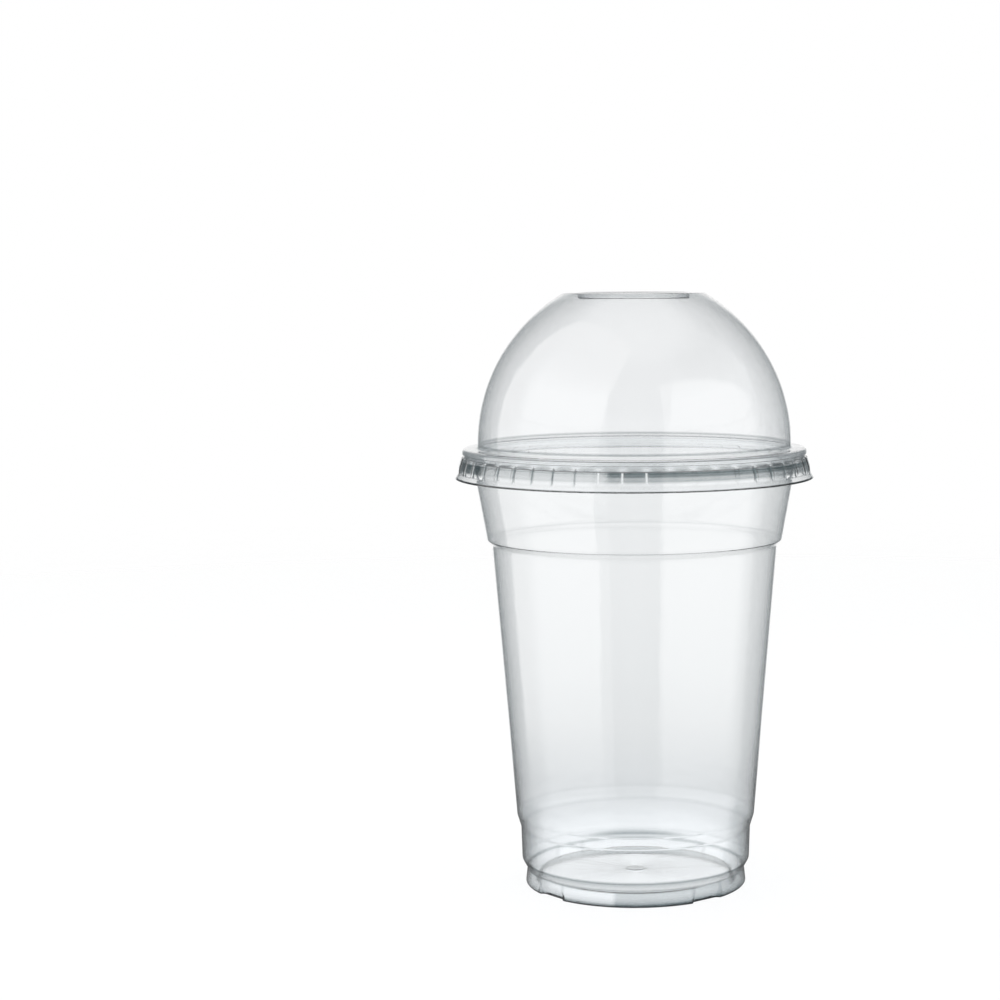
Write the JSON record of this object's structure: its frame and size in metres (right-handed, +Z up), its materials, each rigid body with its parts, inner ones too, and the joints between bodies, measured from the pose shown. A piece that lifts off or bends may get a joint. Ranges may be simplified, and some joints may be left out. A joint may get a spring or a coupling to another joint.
{
  "type": "plastic cup with lid",
  "caption": "Clear tapered drinks cup with a rolled rim, and a clear dome lid with a round top hole that clips over the rim and lifts off.",
  "frame": {"origin": "centre of the cup's foot, on the surface that the cup stands on", "axes": "+Z up along the axis of the cup and the lid; the front is towards -Y"},
  "size_m": [0.1002, 0.1002, 0.1665],
  "materials": {
    "cup_clear": "clear thermoformed sheet, glossy, colourless",
    "lid_clear": "clear thermoformed sheet, glossy, colourless"
  },
  "bodies": {
    "cup": {"cup": "cup_clear"},
    "lid": {"dome_lid": "lid_clear"}
  },
  "joints": [
    {"name": "lid_lift", "type": "slide", "parent": "cup", "child": "lid", "axis": [0, 0, 1], "range_m": [0, 0.04]}
  ]
}
